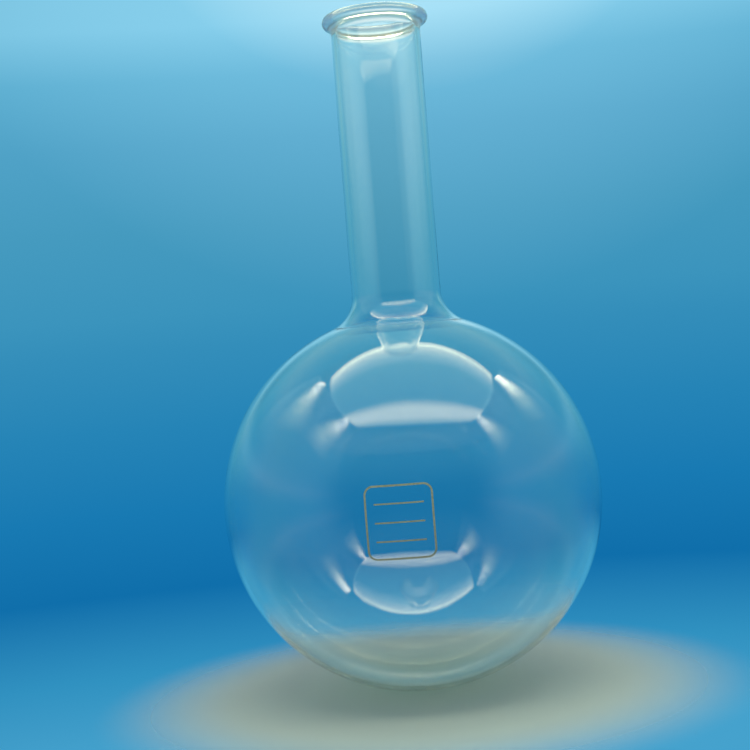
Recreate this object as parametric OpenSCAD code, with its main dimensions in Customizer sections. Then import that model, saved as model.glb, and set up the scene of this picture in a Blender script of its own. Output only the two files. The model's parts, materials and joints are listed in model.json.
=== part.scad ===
// Long-neck round bottom flask: a blown spherical body, a flared shoulder where the
// neck is sealed on, a straight neck tube, a beaded rim and a fired enamel mark.
// Millimetres. The origin is the lowest point of the body, on the flask's axis.
// +Z runs up the neck, and the mark faces -Y.

/* [Body] */
// Outside diameter of the round body
body_d = 223; // [180:1:300]
// Glass thickness of the body
body_wall = 2.5; // [1.5:0.1:5]
// Height of the whole flask, from the lowest point of the body to the top of the rim
total_h = 400; // [360:1:500]

/* [Neck] */
// Outside diameter of the neck tube
neck_d = 53; // [40:0.5:70]
// Glass thickness of the neck tube
neck_wall = 2.5; // [1.5:0.1:5]

/* [Shoulder] */
// Radius of the hollow curve outside, from the body up into the neck
shoulder_r = 20; // [12:0.5:30]
// How much larger the curve inside is; less than the glass thickness makes a thicker seal
seal_more = 2; // [-6:0.5:2.5]

/* [Rim] */
// How far the bead stands out from the neck tube
rim_overhang = 4.9; // [2:0.1:8]
// How far the lip opens outwards from the bore
rim_flare = 0.4; // [0.2:0.1:1.4]
// Radius of the hollow curve under the bead
rim_fillet_r = 5; // [1.5:0.5:8]

/* [Enamel mark] */
// Width of the marking panel
mark_w = 36; // [24:1:60]
// Height of the marking panel
mark_h = 39; // [25:1:60]
// Corner radius of the marking panel
mark_corner_r = 5; // [2:0.5:8]
// Width of the panel's outline
mark_line = 1; // [0.6:0.1:1.6]
// Number of writing lines in the panel
rule_count = 3; // [1:1:5]
// Width of each writing line
rule_line = 0.8; // [0.5:0.1:1.5]
// Gap between the outline and the ends of the writing lines
rule_margin = 4; // [2:0.5:6]
// Thickness of the enamel
mark_t = 0.2; // [0.1:0.05:0.5]

/* [Hidden] */
$fn = 128;

glass = [0.80, 0.90, 0.93, 0.45];
enamel = [0.66, 0.64, 0.44];

// Body
body_r = body_d / 2;
body_inner_r = body_r - body_wall;
body_z = body_r;

// Neck
neck_r = neck_d / 2;
neck_inner_r = neck_r - neck_wall;

// A curve of radius r that touches a sphere and an upright tube from outside:
// its centre, and its foot on the sphere, each as [distance from the axis, height].
function curve_centre(sphere_r, tube_r, r) =
    [tube_r + r, body_z + sqrt(pow(sphere_r + r, 2) - pow(tube_r + r, 2))];
function curve_foot(sphere_r, centre, r) =
    [0, body_z] + (centre - [0, body_z]) * sphere_r / (sphere_r + r);

// Shoulder
seal_r = shoulder_r + seal_more;
outer_centre = curve_centre(body_r, neck_r, shoulder_r);
outer_foot = curve_foot(body_r, outer_centre, shoulder_r);
inner_centre = curve_centre(body_inner_r, neck_inner_r, seal_r);
inner_foot = curve_foot(body_inner_r, inner_centre, seal_r);
shoulder_top = max(outer_centre[1], inner_centre[1]);

// The body meets the shoulder on a straight line through the wall, from foot to foot.
wall_line = (outer_foot - inner_foot) / norm(outer_foot - inner_foot);
beyond_wall = outer_foot + wall_line * body_r;

// Rim: a bead, the hollow curve under it, and a long curve that opens the lip inside
bead_r = (neck_wall + rim_overhang - rim_flare) / 2;
bead_centre = [neck_inner_r + rim_flare + bead_r, total_h - bead_r];
under_r = neck_r + rim_fillet_r;
rim_z = bead_centre[1] - sqrt(pow(bead_r + rim_fillet_r, 2) - pow(under_r - bead_centre[0], 2));
lip_rise = bead_centre[1] - rim_z;
lip_r = (pow(rim_flare + bead_r, 2) + pow(lip_rise, 2) - pow(bead_r, 2)) / (2 * rim_flare);

// Enamel mark
mark_z = body_z;
rule_pitch = mark_h / (rule_count + 1);
rule_w = mark_w - 2 * (mark_line + rule_margin);

module disc(centre, r) {
    translate(centre) circle(r = r);
}

// Half section of all that one surface of the shoulder encloses, up to a level top.
module shoulder_inside(feet, centre, tube_r, r, top) {
    difference() {
        polygon(concat(feet, [centre, [tube_r, centre[1]], [0, centre[1]]]));
        disc(centre, r);
    }
    if (top > centre[1])
        translate([0, centre[1]]) square([tube_r, top - centre[1]]);
}

module rounded_panel(w, h, r) {
    square([w - 2 * r, h], center = true);
    square([w, h - 2 * r], center = true);
    for (x = [r - w / 2, w / 2 - r], y = [r - h / 2, h / 2 - r])
        disc([x, y], r);
}

module bulb() {
    color(glass) rotate_extrude() difference() {
        intersection() {
            disc([0, body_z], body_r);
            square([body_r, body_d]);
        }
        disc([0, body_z], body_inner_r);
        polygon([
            [0, inner_foot[1]],
            inner_foot,
            beyond_wall,
            [beyond_wall[0], total_h],
            [0, total_h]
        ]);
    }
}

module shoulder() {
    outside = [[0, inner_foot[1]], inner_foot, outer_foot];
    below = inner_foot[1] - body_wall;
    inside = [[0, below], [inner_foot[0], below], inner_foot];
    color(glass) rotate_extrude() difference() {
        shoulder_inside(outside, outer_centre, neck_r, shoulder_r, shoulder_top);
        shoulder_inside(inside, inner_centre, neck_inner_r, seal_r, shoulder_top + neck_wall);
    }
}

module neck_tube() {
    color(glass) rotate_extrude()
        translate([neck_inner_r, shoulder_top]) square([neck_wall, rim_z - shoulder_top]);
}

module rim_bead() {
    left = neck_inner_r - rim_flare;
    color(glass) rotate_extrude() {
        disc(bead_centre, bead_r);
        intersection() {
            difference() {
                polygon([[left, rim_z], [under_r, rim_z], bead_centre, [left, total_h]]);
                disc([under_r, rim_z], rim_fillet_r);
            }
            disc([neck_inner_r + lip_r, rim_z], lip_r);
        }
    }
}

module enamel_mark() {
    color(enamel) translate([0, 0, mark_z]) intersection() {
        difference() {
            sphere(r = body_r + mark_t);
            sphere(r = body_r);
        }
        rotate([90, 0, 0]) linear_extrude(height = body_d) {
            difference() {
                rounded_panel(mark_w, mark_h, mark_corner_r);
                rounded_panel(mark_w - 2 * mark_line, mark_h - 2 * mark_line, mark_corner_r - mark_line);
            }
            for (i = [1 : rule_count])
                translate([0, i * rule_pitch - mark_h / 2])
                    square([rule_w, rule_line], center = true);
        }
    }
}

bulb();
shoulder();
neck_tube();
rim_bead();
enamel_mark();
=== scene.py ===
# A long-neck round bottom flask in clear borosilicate glass with a fired enamel marking panel,
# standing on a pale sheet in a lit box. Metres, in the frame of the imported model: +Z runs up the
# neck, and the marking panel faces -Y.
import json
import math

import bmesh
import bpy
from mathutils import Matrix, Vector, noise


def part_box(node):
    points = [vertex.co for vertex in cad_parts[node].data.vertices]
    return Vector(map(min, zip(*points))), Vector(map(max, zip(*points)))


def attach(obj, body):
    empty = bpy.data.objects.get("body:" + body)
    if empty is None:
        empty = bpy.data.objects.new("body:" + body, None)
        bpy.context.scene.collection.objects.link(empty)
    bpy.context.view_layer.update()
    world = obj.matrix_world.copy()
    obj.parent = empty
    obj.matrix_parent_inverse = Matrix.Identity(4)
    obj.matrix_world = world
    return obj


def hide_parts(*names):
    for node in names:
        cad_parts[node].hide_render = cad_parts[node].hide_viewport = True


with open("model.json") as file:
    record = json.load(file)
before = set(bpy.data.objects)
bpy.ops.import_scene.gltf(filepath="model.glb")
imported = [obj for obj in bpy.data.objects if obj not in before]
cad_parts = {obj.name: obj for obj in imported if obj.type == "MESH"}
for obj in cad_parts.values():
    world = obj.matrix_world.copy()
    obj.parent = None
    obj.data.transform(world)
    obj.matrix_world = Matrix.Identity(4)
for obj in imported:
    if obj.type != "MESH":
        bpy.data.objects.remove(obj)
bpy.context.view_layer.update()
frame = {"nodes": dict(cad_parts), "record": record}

# ---------------------------------------------------------------- sizes

# From the frame, to a tenth of a millimetre
BODY_R = round(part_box("bulb")[1].x, 4)
NECK_R = round(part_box("neck_tube")[1].x, 4)
RIM_R = round(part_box("rim_bead")[1].x, 4)
TOP_Z = round(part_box("rim_bead")[1].z, 4)
MOUTH = next(mount for mount in frame["record"]["mounts"] if mount["name"] == "mouth")
BORE_R = MOUTH["dims"]["r_mm"] / 1000

# Glass thickness of the body, and the curves of the shoulder, the seal inside it and the rim, as in
# the solids
BODY_WALL = 0.0025
SHOULDER_R = 0.020
SEAL_R = 0.022
RIM_FLARE = 0.0004
RIM_FILLET_R = 0.005

BODY_INNER_R = BODY_R - BODY_WALL


def at(across, up):
    """A point of the half section, by how far out from the axis and how high it is."""
    return Vector((across, 0, up))


# The lowest point of the body is the origin
BODY_Z = BODY_R
BODY_MIDDLE = at(0, BODY_Z)


def curve_centre(sphere_r, tube_r, r):
    """Centre, in half section, of a curve that touches a sphere and an upright tube from outside."""
    across = tube_r + r
    return at(across, BODY_Z + math.sqrt((sphere_r + r) ** 2 - across ** 2))


def curve_foot(sphere_r, centre, r):
    """Where that curve touches the sphere."""
    return BODY_MIDDLE + (centre - BODY_MIDDLE) * sphere_r / (sphere_r + r)


# The shoulder's curve outside and the seal's curve inside
OUTER_CENTRE = curve_centre(BODY_R, NECK_R, SHOULDER_R)
OUTER_FOOT = curve_foot(BODY_R, OUTER_CENTRE, SHOULDER_R)
OUTER_TOP = at(NECK_R, OUTER_CENTRE.z)
INNER_CENTRE = curve_centre(BODY_INNER_R, BORE_R, SEAL_R)
INNER_FOOT = curve_foot(BODY_INNER_R, INNER_CENTRE, SEAL_R)
INNER_TOP = at(BORE_R, INNER_CENTRE.z)
SHOULDER_TOP = max(OUTER_CENTRE.z, INNER_CENTRE.z)

# The bead, the hollow curve under it, and the long curve that opens the lip inside
BEAD_R = (RIM_R - BORE_R - RIM_FLARE) / 2
BEAD_CENTRE = at(RIM_R - BEAD_R, TOP_Z - BEAD_R)
UNDER_R = NECK_R + RIM_FILLET_R
RIM_Z = BEAD_CENTRE.z - math.sqrt((BEAD_R + RIM_FILLET_R) ** 2 - (UNDER_R - BEAD_CENTRE.x) ** 2)
LIP_RISE = BEAD_CENTRE.z - RIM_Z
LIP_R = ((RIM_FLARE + BEAD_R) ** 2 + LIP_RISE ** 2 - BEAD_R ** 2) / (2 * RIM_FLARE)

# The middle of the run of the half section where one piece is sealed on to the next
NECK_WALL_MIDDLE = (NECK_R + BORE_R) / 2
BODY_JOINT = (OUTER_FOOT + INNER_FOOT) / 2
NECK_JOINT = at(NECK_WALL_MIDDLE, SHOULDER_TOP)
RIM_JOINT = at(NECK_WALL_MIDDLE, RIM_Z)

# How finely the glass is divided
TURN_STEPS = 256
WALL_STEPS = 140
TUBE_STEPS = 60
CURVE_STEPS = 28
BEAD_STEPS = 3 * CURVE_STEPS

# The first and last step of an arc, the distance at which points are one, and how near the middle of
# a joint its faces lie
EDGE_ANGLE = math.radians(0.05)
MERGE_LENGTH = 0.000001
JOINT_REACH = 0.0003

# How far hand-blown glass strays from its true form: slow waves, and fine lines drawn upwards, by
# about how many there are to a metre and how deep they are. The seed keeps the waves the same in
# every run.
WAVE_SEED = 1
WAVE_FINENESS = 22
WAVE_DEPTH = 0.00012
DRAWN_FINENESS_ROUND = 160
DRAWN_FINENESS_UP = 9
DRAWN_DEPTH = 0.000025
NEAR_AXIS = 0.0001
noise.seed_set(WAVE_SEED)


# ---------------------------------------------------------------- materials

def new_material(name):
    """A material with a main shader alone, returned with its node tree and that shader."""
    material = bpy.data.materials.new(name)
    material.use_nodes = True
    tree = material.node_tree
    tree.nodes.clear()
    output = tree.nodes.new("ShaderNodeOutputMaterial")
    shader = tree.nodes.new("ShaderNodeBsdfPrincipled")
    tree.links.new(shader.outputs["BSDF"], output.inputs["Surface"])
    return material, tree, shader


def object_noise(tree, fineness, stretch=(1, 1, 1), detail=3):
    """Noise over the piece's own coordinates."""
    place = tree.nodes.new("ShaderNodeTexCoord")
    mapping = tree.nodes.new("ShaderNodeMapping")
    mapping.inputs["Scale"].default_value = stretch
    texture = tree.nodes.new("ShaderNodeTexNoise")
    texture.inputs["Scale"].default_value = fineness
    texture.inputs["Detail"].default_value = detail
    tree.links.new(place.outputs["Object"], mapping.inputs["Vector"])
    tree.links.new(mapping.outputs["Vector"], texture.inputs["Vector"])
    return texture.outputs["Fac"]


def ramp(tree, source, stops):
    """A colour that changes with a value between 0 and 1, by stops of a value and its colour."""
    node = tree.nodes.new("ShaderNodeValToRGB")
    elements = node.color_ramp.elements
    for value, _ in stops[1:-1]:
        elements.new(value)
    for element, (value, colour) in zip(elements, stops):
        element.position = value
        element.color = (*colour, 1)
    tree.links.new(source, node.inputs["Fac"])
    return node.outputs["Color"]


def grey(level):
    """A plain level, as a colour for a ramp."""
    return (level, level, level)


def raise_pattern(tree, shader, pattern, depth):
    """Lets a pattern raise a material's surface by up to a depth."""
    bump = tree.nodes.new("ShaderNodeBump")
    bump.inputs["Distance"].default_value = depth
    tree.links.new(pattern, bump.inputs["Height"])
    tree.links.new(bump.outputs["Normal"], shader.inputs["Normal"])


# Borosilicate glass, clear up to this share of the way to edge on. The bloom of handling shows
# where its noise lies above the start, and is full at the other value.
GLASS_IOR = 1.474
CLEAR = (0.992, 0.997, 0.985)
CLEAR_UNTIL = 0.72
BLOOM_FINENESS = 35
BLOOM_START = 0.45
BLOOM_FULL = 0.80


def glass(name, edge, streaks, clear=CLEAR, clarity=1, roughness=(0, 0.02)):
    """Clear glass: tinted where it is seen edge on, with drawn streaks and a faint bloom of handling.
    The streaks have a stretch, a fineness and a depth, and the roughness is given clean and bloomed."""
    material, tree, shader = new_material(name)
    shader.inputs["Transmission Weight"].default_value = clarity
    shader.inputs["IOR"].default_value = GLASS_IOR
    facing = tree.nodes.new("ShaderNodeLayerWeight").outputs["Facing"]
    tint = ramp(tree, facing, [(0, clear), (CLEAR_UNTIL, clear), (1, edge)])
    tree.links.new(tint, shader.inputs["Base Color"])
    clean, bloomed = roughness
    bloom = object_noise(tree, BLOOM_FINENESS, detail=5)
    haze = ramp(tree, bloom, [(BLOOM_START, grey(clean)), (BLOOM_FULL, grey(bloomed))])
    tree.links.new(haze, shader.inputs["Roughness"])
    stretch, fineness, depth = streaks
    raise_pattern(tree, shader, object_noise(tree, fineness, stretch), depth)
    return material


BODY_GLASS = glass("blown_glass", edge=(0.86, 0.92, 0.80), streaks=((1, 1, 0.6), 26, 0.00002))
SEAL_GLASS = glass("seal_glass", edge=(0.88, 0.93, 0.76), streaks=((0.7, 0.7, 2.4), 60, 0.00004))
NECK_GLASS = glass("drawn_glass", edge=(0.93, 0.96, 0.955), streaks=((1, 1, 0.06), 120, 0.00008))
RIM_GLASS = glass("fire_polished_glass", edge=(0.66, 0.725, 0.69), streaks=((1, 1, 1), 70, 0.00005),
                  clear=(0.935, 0.957, 0.975), clarity=0.86, roughness=(0.05, 0.11))


def sealed_joint():
    """The inside of the glass where two pieces are fused: light goes through it unbent."""
    material, _, shader = new_material("sealed_joint")
    shader.inputs["Alpha"].default_value = 0
    return material


JOINT_GLASS = sealed_joint()

ENAMEL_FINENESS = 900
ENAMEL_SHADES = [(0.35, (0.27, 0.31, 0.19)), (0.65, (0.38, 0.42, 0.27))]
ENAMEL_ROUGHNESS = [(0.3, grey(0.38)), (0.7, grey(0.6))]
ENAMEL_COVER = 0.8
ENAMEL_GRAIN = 0.00003


def fired_enamel():
    """Khaki enamel: mottled, satin, finely grained, and thin enough to let a little light through."""
    material, tree, shader = new_material("fired_enamel")
    mottle = object_noise(tree, ENAMEL_FINENESS, detail=4)
    tree.links.new(ramp(tree, mottle, ENAMEL_SHADES), shader.inputs["Base Color"])
    tree.links.new(ramp(tree, mottle, ENAMEL_ROUGHNESS), shader.inputs["Roughness"])
    shader.inputs["Alpha"].default_value = ENAMEL_COVER
    raise_pattern(tree, shader, mottle, ENAMEL_GRAIN)
    return material


# ---------------------------------------------------------------- half sections, swept into walls

def angle_of(point, centre):
    """Angle of a point round a centre in the half section, from +X towards +Z."""
    return math.atan2(point.z - centre.z, point.x - centre.x)


def swept(bm, geometry, centre, axis, angle, steps, merge=False):
    """Sweeps a geometry round an axis through a centre, and returns what it ends in."""
    return bmesh.ops.spin(
        bm, geom=geometry, cent=centre, axis=axis, dvec=(0, 0, 0), angle=angle,
        space=Matrix.Identity(4), steps=steps, use_merge=merge, use_normal_flip=False,
        use_duplicate=False,
    )["geom_last"]


def turn(bm, vert, centre, angle, steps):
    """Sweeps the last point of a half section round a centre, and returns the new last point."""
    last = swept(bm, [vert], centre, (0, -1, 0), angle, steps)
    return next(part for part in last if isinstance(part, bmesh.types.BMVert))


def arc(bm, vert, centre, angle, steps):
    """An arc whose first and last steps are tiny, so that the wall meets the next one smoothly."""
    edge = math.copysign(EDGE_ANGLE, angle)
    vert = turn(bm, vert, centre, edge, 1)
    vert = turn(bm, vert, centre, angle - 2 * edge, steps)
    return turn(bm, vert, centre, edge, 1)


def line(bm, vert, end, steps=1):
    """A straight run of the half section, returning its last point."""
    start = vert.co.copy()
    for step_number in range(1, steps + 1):
        vert = bmesh.ops.extrude_vert_indiv(bm, verts=[vert])["verts"][0]
        vert.co = start.lerp(end, step_number / steps)
    return vert


def drift(point):
    """How far the glass strays at a point: waves any way, and drawn lines outwards from the axis."""
    stray = noise.noise_vector(point * WAVE_FINENESS) * WAVE_DEPTH
    outward = Vector((point.x, point.y, 0))
    if outward.length > NEAR_AXIS:
        drawn = Vector((point.x * DRAWN_FINENESS_ROUND, point.y * DRAWN_FINENESS_ROUND,
                        point.z * DRAWN_FINENESS_UP))
        stray += outward.normalized() * (noise.noise(drawn) * DRAWN_DEPTH)
    return stray


def revolve(bm, name, clear_glass, joints):
    """Turns a half section into a piece of glass. Each joint is the middle of a run of the section
    where the next piece is sealed on."""
    swept(bm, bm.verts[:] + bm.edges[:], (0, 0, 0), (0, 0, 1), 2 * math.pi, TURN_STEPS, merge=True)
    bmesh.ops.remove_doubles(bm, verts=bm.verts, dist=MERGE_LENGTH)
    bmesh.ops.recalc_face_normals(bm, faces=bm.faces)
    for face in bm.faces:
        middle = face.calc_center_median()
        place = at(middle.xy.length, middle.z)
        face.material_index = int(any((place - joint).length < JOINT_REACH for joint in joints))
        face.smooth = face.material_index == 0
    for edge in bm.edges:
        edge.smooth = len({face.material_index for face in edge.link_faces}) == 1
    for vert in bm.verts:
        vert.co += drift(vert.co)
    mesh = bpy.data.meshes.new(name)
    bm.to_mesh(mesh)
    bm.free()
    mesh.materials.append(clear_glass)
    mesh.materials.append(JOINT_GLASS)
    piece = bpy.data.objects.new(name, mesh)
    bpy.context.scene.collection.objects.link(piece)
    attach(piece, "root")
    return piece


# ---------------------------------------------------------------- the flask

def make_body():
    """The blown body: up the outside from the lowest point, through the wall and down the inside."""
    bm = bmesh.new()
    vert = bm.verts.new(at(0, 0))
    vert = arc(bm, vert, BODY_MIDDLE, angle_of(OUTER_FOOT, BODY_MIDDLE) + math.pi / 2, WALL_STEPS)
    vert = line(bm, vert, INNER_FOOT)
    arc(bm, vert, BODY_MIDDLE, -angle_of(INNER_FOOT, BODY_MIDDLE) - math.pi / 2, WALL_STEPS)
    body = revolve(bm, "blown_body", BODY_GLASS, [BODY_JOINT])
    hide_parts("bulb")
    return body


def make_shoulder():
    """The flared collar where the neck is sealed on to the body."""
    outer_sweep = (angle_of(OUTER_TOP, OUTER_CENTRE) - 2 * math.pi
                   - angle_of(OUTER_FOOT, OUTER_CENTRE))
    inner_sweep = (angle_of(INNER_FOOT, INNER_CENTRE) + 2 * math.pi
                   - angle_of(INNER_TOP, INNER_CENTRE))
    bm = bmesh.new()
    vert = arc(bm, bm.verts.new(OUTER_FOOT), OUTER_CENTRE, outer_sweep, CURVE_STEPS)
    vert = line(bm, vert, at(NECK_R, SHOULDER_TOP))
    vert = line(bm, vert, at(BORE_R, SHOULDER_TOP))
    vert = line(bm, vert, INNER_TOP, CURVE_STEPS)
    vert = arc(bm, vert, INNER_CENTRE, inner_sweep, CURVE_STEPS)
    line(bm, vert, OUTER_FOOT)
    shoulder = revolve(bm, "sealed_shoulder", SEAL_GLASS, [BODY_JOINT, NECK_JOINT])
    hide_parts("shoulder")


def make_neck():
    """The straight drawn tube."""
    start = at(NECK_R, SHOULDER_TOP)
    bm = bmesh.new()
    vert = line(bm, bm.verts.new(start), at(NECK_R, RIM_Z), TUBE_STEPS)
    vert = line(bm, vert, at(BORE_R, RIM_Z))
    vert = line(bm, vert, at(BORE_R, SHOULDER_TOP), TUBE_STEPS)
    line(bm, vert, start)
    neck = revolve(bm, "drawn_neck", NECK_GLASS, [NECK_JOINT, RIM_JOINT])
    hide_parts("neck_tube")


def make_rim():
    """The fire-polished rim: up the opening lip, round the bead and down the hollow curve under it."""
    start = at(BORE_R, RIM_Z)
    lip_centre = at(BORE_R + LIP_R, RIM_Z)
    under_centre = at(UNDER_R, RIM_Z)
    lip_sweep = math.pi - angle_of(BEAD_CENTRE, lip_centre)
    under_sweep = math.pi - angle_of(BEAD_CENTRE, under_centre)
    bm = bmesh.new()
    vert = arc(bm, bm.verts.new(start), lip_centre, -lip_sweep, CURVE_STEPS)
    vert = arc(bm, vert, BEAD_CENTRE, lip_sweep - under_sweep - math.pi, BEAD_STEPS)
    vert = arc(bm, vert, under_centre, under_sweep, CURVE_STEPS)
    line(bm, vert, start)
    rim = revolve(bm, "beaded_rim", RIM_GLASS, [RIM_JOINT])
    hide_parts("rim_bead")


def finish_mark():
    """The fired enamel on the marking panel, which keeps its solid's own mesh."""
    slot = frame["nodes"]["enamel_mark"].material_slots[0]
    slot.link = "OBJECT"
    slot.material = fired_enamel()


# ---------------------------------------------------------------- studio: where things stand

CAMERA_TURN = math.radians(3.75)
CAMERA_ROLL = math.radians(4.6)
CAMERA_DISTANCE = 0.812
CAMERA_HEIGHT = 0.232
AIM_HEIGHT = 0.187
AIM_LEFT = 0.0163
FOCAL_LENGTH = 65.9
NEAR_CLIP = 0.01
FAR_CLIP = 50

# From the camera's left to its right, and from the camera to the paper behind the flask
ACROSS = Vector((math.cos(CAMERA_TURN), math.sin(CAMERA_TURN), 0))
BACKWARD = Vector((-math.sin(CAMERA_TURN), math.cos(CAMERA_TURN), 0))

# The camera, the lamps and the surroundings lean back together about the middle of the body
LEAN_BACK = math.radians(2.6)
STUDIO = (Matrix.Translation(BODY_MIDDLE) @ Matrix.Rotation(LEAN_BACK, 4, ACROSS)
          @ Matrix.Translation(-BODY_MIDDLE))

FLOOR_COLOUR = (0.50, 0.60, 0.60)
FLOOR_ROUGHNESS = 0.9
FLOOR_SEGMENTS = 96
FLOOR_RADIUS = 0.20
PALE_RADIUS = 0.11

# The lit box, turned about the flask. Across it runs X, and Y runs from its open front to the paper.
BOX_TURN = math.radians(5.5)
CEILING_Z = BODY_Z + 0.35
CEILING_PLACE = (0.033, -0.135, CEILING_Z)
CEILING_SIZE = (0.544, 0.412)
CEILING_SPREAD = math.radians(164)
WALL_SIZE = (0.34, 0.25)
WALL_Y = -0.09
WALL_Z = CEILING_Z - WALL_SIZE[1] / 2
STREAK_SIZE = (0.13, 0.21)
STREAK_Z = CEILING_Z - 0.10

FACING_RIGHT = Matrix(((0, 0, -1), (-1, 0, 0), (0, 1, 0))).to_4x4()
FACING_LEFT = Matrix(((0, 0, 1), (1, 0, 0), (0, 1, 0))).to_4x4()

# Each side wall: its X, the way it faces, and its streaks, with the Y, the lean in degrees and the
# strength of each
WALLS = {
    "wall_left": (-0.225, FACING_RIGHT, [
        ("back_left", -0.010, 20, 1),
        ("front_left", -0.178, -20, 1.5),
    ]),
    "wall_right": (0.285, FACING_LEFT, [
        ("back_right", -0.003, -16, 0.85),
        ("front_right", -0.213, 14, 0.8),
    ]),
}

# ---------------------------------------------------------------- studio: what light there is

# Light on the ceiling from its front edge to the back, with a band at each
DARK = (0, 0, 0)
SOFT = (0.46, 0.76, 0.62)
HALF = (1.2, 1.4, 1.05)
LIT = (2.5, 2.3, 1.5)
BRIGHT = (4.1, 3.7, 2.4)
BRIGHTEST = (5.4, 4.8, 2.9)
CEILING_FADE = [
    (0.02, DARK), (0.045, HALF), (0.09, LIT), (0.14, BRIGHT), (0.25, BRIGHT), (0.30, LIT), (0.36, SOFT),
    (0.72, SOFT), (0.82, HALF), (0.91, LIT), (0.975, BRIGHTEST), (0.998, DARK),
]

# How far the ceiling's front and back edges, and its side edges, stand out in their middles beyond
# their corners, and where at the sides the light begins to fall off, all in halves of the ceiling
END_BOW = 0.36
SIDE_BOW = 0.27
SIDE_FALL = 0.97

# Light on a wall and in a streak from the foot to the top. At its foot a streak reaches this far to
# each side, in halves of its lamp, and it narrows by the taper up to the top.
WALL_FADE = [(0, DARK), (0.25, (0.12, 0.14, 0.09)), (0.45, (0.20, 0.25, 0.19)), (1, (0.29, 0.34, 0.26))]
STREAK_FADE = [
    (0, DARK), (0.2, (1.1, 1.1, 0.6)), (0.4, (3.2, 3.0, 1.5)), (0.62, (10, 8.8, 5.4)),
    (0.85, (20, 17.5, 12)), (1, (30, 26, 18)),
]
STREAK_FOOT = 1.25
STREAK_TAPER = 0.92

# The paper behind the flask by how steeply one looks up, and the glow of a lamp high up on it
PAPER_FADE = [
    (-0.30, (0.060, 0.360, 0.610)), (-0.25, (0.030, 0.285, 0.530)), (-0.195, (0.0048, 0.158, 0.405)),
    (-0.14, (0.009, 0.194, 0.450)), (-0.08, (0.019, 0.232, 0.472)), (-0.025, (0.034, 0.270, 0.492)),
    (0.0, (0.044, 0.296, 0.508)), (0.06, (0.060, 0.325, 0.522)), (0.12, (0.080, 0.362, 0.570)),
    (0.165, (0.108, 0.422, 0.632)), (0.20, (0.190, 0.540, 0.745)), (0.30, (0.190, 0.520, 0.700)),
]
GLOW_AIM = (-0.03, 0.93, 0.36)
GLOW_FADE = [
    (0.930, DARK), (0.975, (0.05, 0.08, 0.09)), (0.99, (0.25, 0.26, 0.22)), (1, (0.7, 0.55, 0.4)),
]

# The same past the two ends of the paper, on the side walls and in the open front of the box
END_FADE = [
    (-0.30, (0.060, 0.360, 0.610)), (-0.195, (0.010, 0.170, 0.405)), (-0.08, (0.022, 0.236, 0.470)),
    (0.0, (0.048, 0.302, 0.502)), (0.06, (0.080, 0.360, 0.510)), (0.12, (0.13, 0.43, 0.56)),
    (0.165, (0.19, 0.50, 0.62)), (0.20, (0.18, 0.48, 0.59)), (0.26, (0.09, 0.35, 0.47)),
    (0.32, (0.065, 0.31, 0.43)), (0.42, (0.12, 0.40, 0.50)), (0.55, (0.27, 0.50, 0.50)),
    (0.80, (0.13, 0.39, 0.46)),
]
BESIDE_FADE = [
    (-0.30, (0.11, 0.40, 0.42)), (-0.02, (0.13, 0.43, 0.45)), (0.06, (0.17, 0.46, 0.48)),
    (0.12, (0.29, 0.55, 0.53)), (0.18, (0.45, 0.65, 0.60)), (0.27, (0.32, 0.55, 0.52)),
    (0.45, (0.25, 0.48, 0.46)), (0.80, (0.11, 0.37, 0.43)),
]
OPEN_FADE = [
    (-0.30, (0.020, 0.070, 0.055)), (0.25, (0.028, 0.085, 0.070)), (0.50, (0.14, 0.40, 0.36)),
    (0.70, (0.18, 0.46, 0.40)),
]
OPEN_AIM = (0.06, -0.99, 0.12)

# How these are laid over the paper in turn: an aim, the closeness to it at which the change begins
# and the one at which it is whole, and the colours
BEYOND_PAPER = [
    (BACKWARD, 0.955, 0.82, END_FADE),
    (BACKWARD, 0.62, 0.15, BESIDE_FADE),
    (OPEN_AIM, 0.38, 0.80, OPEN_FADE),
]

# Plain light on whatever is neither seen directly nor in the glass
FILL_COLOUR = (0.92, 0.97, 1)
FILL_STRENGTH = 0.5

# Clear double walls need long paths
GLASS_BOUNCES = 28
GLOSS_BOUNCES = 12


# ---------------------------------------------------------------- studio: light that changes

def step(tree, source, start, end):
    """A smooth change from 0 at one value to 1 at another."""
    node = tree.nodes.new("ShaderNodeMapRange")
    node.interpolation_type = "SMOOTHSTEP"
    node.inputs["From Min"].default_value = min(start, end)
    node.inputs["From Max"].default_value = max(start, end)
    node.inputs["To Min"].default_value = 0 if start < end else 1
    node.inputs["To Max"].default_value = 1 if start < end else 0
    tree.links.new(source, node.inputs["Value"])
    return node.outputs["Result"]


def fade(tree, source, stops):
    """A colour that changes with a value, by stops given in the value's own units."""
    low = stops[0][0]
    high = stops[-1][0]
    spread = tree.nodes.new("ShaderNodeMapRange")
    spread.inputs["From Min"].default_value = low
    spread.inputs["From Max"].default_value = high
    tree.links.new(source, spread.inputs["Value"])
    even = [((value - low) / (high - low), colour) for value, colour in stops]
    return ramp(tree, spread.outputs["Result"], even)


def feed(tree, value, socket):
    """Gives a socket a plain number or another node's value."""
    if isinstance(value, (int, float)):
        socket.default_value = value
    else:
        tree.links.new(value, socket)


def arithmetic(tree, operation, *values):
    """One step of arithmetic on plain numbers and other nodes' values."""
    node = tree.nodes.new("ShaderNodeMath")
    node.operation = operation
    for socket, value in zip(node.inputs, values):
        feed(tree, value, socket)
    return node.outputs["Value"]


def mixed(tree, factor, first, second, blend="MIX"):
    """Two colours mixed: the second laid over the first as a factor rises, or added to it."""
    node = tree.nodes.new("ShaderNodeMix")
    node.data_type = "RGBA"
    node.blend_type = blend
    feed(tree, factor, node.inputs["Factor"])
    tree.links.new(first, node.inputs["A"])
    tree.links.new(second, node.inputs["B"])
    return node.outputs["Result"]


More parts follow.
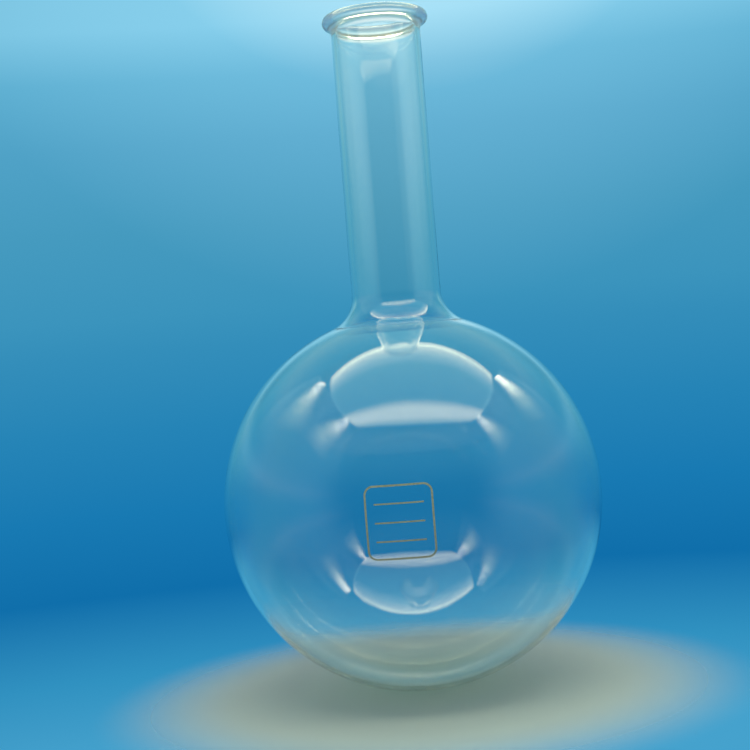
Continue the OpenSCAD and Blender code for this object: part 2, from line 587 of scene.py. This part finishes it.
def scaled(tree, light, level):
    """A light made weaker by a level from 0 to 1."""
    node = tree.nodes.new("ShaderNodeVectorMath")
    node.operation = "SCALE"
    tree.links.new(light, node.inputs[0])
    tree.links.new(level, node.inputs["Scale"])
    return node.outputs["Vector"]


def between(tree, factor, first, second):
    """A shader that changes from the first to the second as a factor rises."""
    node = tree.nodes.new("ShaderNodeMixShader")
    tree.links.new(factor, node.inputs["Fac"])
    tree.links.new(first, node.inputs[1])
    tree.links.new(second, node.inputs[2])
    return node.outputs["Shader"]


def closeness(tree, direction, aim):
    """How nearly a direction agrees with an aim, as the cosine of the angle between them."""
    towards = tree.nodes.new("ShaderNodeVectorMath")
    towards.operation = "DOT_PRODUCT"
    towards.inputs[1].default_value = Vector(aim).normalized()
    tree.links.new(direction, towards.inputs[0])
    return towards.outputs["Value"]


def surroundings(tree, direction):
    """The colour of the box in each direction: blue paper behind, lit walls beside, a dim front."""
    split = tree.nodes.new("ShaderNodeSeparateXYZ")
    tree.links.new(direction, split.inputs["Vector"])
    steepness = split.outputs["Z"]
    paper = fade(tree, steepness, PAPER_FADE)
    glow = fade(tree, closeness(tree, direction, GLOW_AIM), GLOW_FADE)
    colour = mixed(tree, 1, paper, glow, blend="ADD")
    for aim, start, whole, stops in BEYOND_PAPER:
        cover = step(tree, closeness(tree, direction, aim), start, whole)
        colour = mixed(tree, cover, colour, fade(tree, steepness, stops))
    return colour


def from_middle(tree, place):
    """A place on a face counted from its middle, from -1 at one edge to 1 at the other."""
    return arithmetic(tree, "MULTIPLY_ADD", place, 2, -1)


def from_edge(tree, place):
    """The same place counted from the first edge again, from 0 to 1."""
    return arithmetic(tree, "MULTIPLY_ADD", place, 0.5, 0.5)


def bowed(tree, distance, beside, bow):
    """A distance from a face's middle, as a share of the way to an edge that bows outwards."""
    square = arithmetic(tree, "MULTIPLY", beside, beside)
    return arithmetic(tree, "DIVIDE", distance, arithmetic(tree, "MULTIPLY_ADD", square, -bow, 1))


def ceiling_light(tree, across, along):
    """Bright bands at the front and the back of a ceiling whose four edges bow outwards."""
    side = from_middle(tree, across)
    depth = from_middle(tree, along)
    place = from_edge(tree, bowed(tree, depth, side, END_BOW))
    reach = arithmetic(tree, "ABSOLUTE", bowed(tree, side, depth, SIDE_BOW))
    return scaled(tree, ramp(tree, place, CEILING_FADE), step(tree, reach, 1, SIDE_FALL))


def streak_light(tree, across, along):
    """Light that falls down a wall from one bright band: strong and narrow above, weak and wide below."""
    side = arithmetic(tree, "ABSOLUTE", from_middle(tree, across))
    reach = arithmetic(tree, "MULTIPLY_ADD", along, -STREAK_TAPER, STREAK_FOOT)
    bell = step(tree, arithmetic(tree, "DIVIDE", side, reach), 1, 0)
    return scaled(tree, ramp(tree, along, STREAK_FADE), bell)


def wall_light(tree, across, along):
    """The even part of the light on a wall, the same right across it and fading out downwards."""
    return ramp(tree, along, WALL_FADE)


# ---------------------------------------------------------------- studio: lamps, floor and camera

def graded_lamp(name, place, turned, size, light):
    """A lamp whose light changes over its face, in the box's own turned frame. Its energy makes the
    levels of that light the ones that are seen on its face."""
    data = bpy.data.lights.new(name, "AREA")
    data.shape = "RECTANGLE"
    data.size, data.size_y = size
    data.energy = math.pi * data.size * data.size_y
    data.use_nodes = True
    tree = data.node_tree
    surface = tree.nodes.new("ShaderNodeNewGeometry")
    split = tree.nodes.new("ShaderNodeSeparateXYZ")
    tree.links.new(surface.outputs["Parametric"], split.inputs["Vector"])
    colour = light(tree, split.outputs["X"], split.outputs["Y"])
    tree.links.new(colour, tree.nodes["Emission"].inputs["Color"])
    lamp = bpy.data.objects.new(name, data)
    bpy.context.scene.collection.objects.link(lamp)
    lamp.matrix_world = STUDIO @ Matrix.Rotation(BOX_TURN, 4, "Z") @ Matrix.Translation(place) @ turned
    lamp.visible_camera = False
    return lamp


def make_lamps(body):
    """The lit ceiling, the two side walls, and the streaks of light down them, which only the body
    shows."""
    streaked = bpy.data.collections.new("streaked")
    streaked.objects.link(body)
    ceiling = graded_lamp("ceiling", CEILING_PLACE, Matrix.Identity(4), CEILING_SIZE, ceiling_light)
    ceiling.data.spread = CEILING_SPREAD
    for wall, (x, turned, streaks) in WALLS.items():
        graded_lamp(wall, (x, WALL_Y, WALL_Z), turned, WALL_SIZE, wall_light)
        for name, y, lean, strength in streaks:
            leaned = turned @ Matrix.Rotation(math.radians(lean), 4, "Z")
            streak = graded_lamp(name, (x, y, STREAK_Z), leaned, STREAK_SIZE, streak_light)
            streak.data.energy *= strength
            streak.light_linking.receiver_collection = streaked


def floor_paper():
    """Pale matt paper that melts into the surroundings away from its middle."""
    material, tree, shader = new_material("floor_paper")
    shader.inputs["Base Color"].default_value = (*FLOOR_COLOUR, 1)
    shader.inputs["Roughness"].default_value = FLOOR_ROUGHNESS
    place = tree.nodes.new("ShaderNodeTexCoord")
    far = tree.nodes.new("ShaderNodeVectorMath")
    far.operation = "LENGTH"
    tree.links.new(place.outputs["Object"], far.inputs[0])
    melt = step(tree, far.outputs["Value"], PALE_RADIUS, FLOOR_RADIUS)
    clear = tree.nodes.new("ShaderNodeBsdfTransparent")
    paper = between(tree, melt, shader.outputs["BSDF"], clear.outputs["BSDF"])
    tree.links.new(paper, tree.nodes["Material Output"].inputs["Surface"])
    return material


def make_floor():
    """A pale round sheet under the flask."""
    bm = bmesh.new()
    bmesh.ops.create_circle(bm, cap_ends=True, cap_tris=True, segments=FLOOR_SEGMENTS, radius=FLOOR_RADIUS)
    mesh = bpy.data.meshes.new("floor")
    bm.to_mesh(mesh)
    bm.free()
    mesh.materials.append(floor_paper())
    floor = bpy.data.objects.new("floor", mesh)
    bpy.context.scene.collection.objects.link(floor)


def make_world():
    """The surroundings, as they are seen directly and in the glass, and a plain light for the rest."""
    world = bpy.data.worlds.new("studio")
    bpy.context.scene.world = world
    world.use_nodes = True
    tree = world.node_tree
    tree.nodes.clear()
    place = tree.nodes.new("ShaderNodeTexCoord")
    upright = tree.nodes.new("ShaderNodeVectorRotate")
    upright.inputs["Axis"].default_value = ACROSS
    upright.inputs["Angle"].default_value = -LEAN_BACK
    tree.links.new(place.outputs["Generated"], upright.inputs["Vector"])
    seen = tree.nodes.new("ShaderNodeBackground")
    tree.links.new(surroundings(tree, upright.outputs["Vector"]), seen.inputs["Color"])
    fill = tree.nodes.new("ShaderNodeBackground")
    fill.inputs["Color"].default_value = (*FILL_COLOUR, 1)
    fill.inputs["Strength"].default_value = FILL_STRENGTH
    rays = tree.nodes.new("ShaderNodeLightPath").outputs
    shown = arithmetic(tree, "MAXIMUM", rays["Is Camera Ray"], rays["Is Glossy Ray"])
    shown = arithmetic(tree, "MAXIMUM", shown, rays["Is Transmission Ray"])
    studio = between(tree, shown, fill.outputs["Background"], seen.outputs["Background"])
    output = tree.nodes.new("ShaderNodeOutputWorld")
    tree.links.new(studio, output.inputs["Surface"])


def make_camera():
    """The camera, aimed a little to the left of the flask's axis, rolled, and leaning with the studio."""
    data = bpy.data.cameras.new("camera")
    data.lens = FOCAL_LENGTH
    data.clip_start = NEAR_CLIP
    data.clip_end = FAR_CLIP
    camera = bpy.data.objects.new("camera", data)
    bpy.context.scene.collection.objects.link(camera)
    place = BACKWARD * -CAMERA_DISTANCE
    place.z = CAMERA_HEIGHT
    aim = at(0, AIM_HEIGHT) - ACROSS * AIM_LEFT
    forward = (aim - place).normalized()
    level = forward.cross(Vector((0, 0, 1))).normalized()
    plumb = level.cross(forward)
    right = level * math.cos(CAMERA_ROLL) - plumb * math.sin(CAMERA_ROLL)
    up = level * math.sin(CAMERA_ROLL) + plumb * math.cos(CAMERA_ROLL)
    pose = Matrix((right, up, -forward)).transposed().to_4x4()
    pose.translation = place
    camera.matrix_world = STUDIO @ pose
    bpy.context.scene.camera = camera


# ---------------------------------------------------------------- the scene

flask_body = make_body()
make_shoulder()
make_neck()
make_rim()
finish_mark()

make_lamps(flask_body)
make_floor()
make_world()
make_camera()

scene = bpy.context.scene
scene.view_settings.view_transform = "Standard"
scene.cycles.max_bounces = GLASS_BOUNCES
scene.cycles.transmission_bounces = GLASS_BOUNCES
scene.cycles.glossy_bounces = GLOSS_BOUNCES
